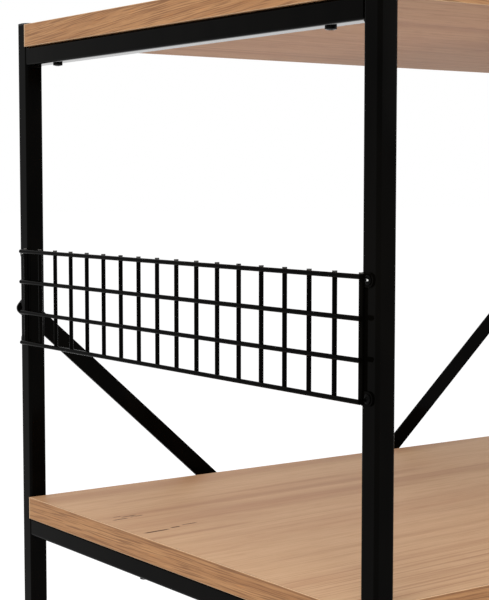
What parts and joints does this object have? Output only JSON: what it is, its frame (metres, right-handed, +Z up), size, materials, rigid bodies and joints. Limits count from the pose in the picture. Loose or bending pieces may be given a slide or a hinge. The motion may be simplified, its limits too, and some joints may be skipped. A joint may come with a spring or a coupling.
{
  "type": "desk hutch",
  "caption": "Open desk hutch: black square-tube end frames, wood-effect boards, a welded wire grid outside each end and a flat-bar cross brace on the back.",
  "frame": {"origin": "on the desk, below the middle of the whole hutch", "axes": "+X to the right seen from the front, +Y to the back, +Z up"},
  "size_m": [0.6122, 0.4576, 0.78],
  "materials": {
    "tube": "satin black powder coat",
    "wire": "satin black powder coat",
    "bar": "satin black powder coat",
    "board": "wood-effect melamine, matt",
    "edging": "wood-effect edging strip, matt",
    "screw": "black coated steel",
    "insert": "zinc plated",
    "plastic": "matt black"
  },
  "bodies": {
    "root": {"post_front_left": "tube", "post_front_right": "tube", "post_rear_left": "tube", "post_rear_right": "tube", "lower_rail_left": "tube", "lower_rail_right": "tube", "upper_rail_left": "tube", "upper_rail_right": "tube", "lower_board": "board", "lower_board_edging": "edging", "upper_board": "board", "upper_board_edging": "edging", "lower_board_screws": "screw", "upper_board_screws": "screw", "wire_grid_left": "wire", "wire_grid_right": "wire", "grid_screws_left": "screw", "grid_screws_right": "screw", "brace_bar_inner": "bar", "brace_bar_outer": "bar", "brace_screws": "screw", "brace_inserts": "insert", "brace_centre_bolt": "screw", "brace_centre_nut": "screw", "cap_front_left": "plastic", "cap_front_right": "plastic", "cap_rear_left": "plastic", "cap_rear_right": "plastic", "foot_front_left": "plastic", "foot_front_right": "plastic", "foot_rear_left": "plastic", "foot_rear_right": "plastic"}
  },
  "joints": []
}
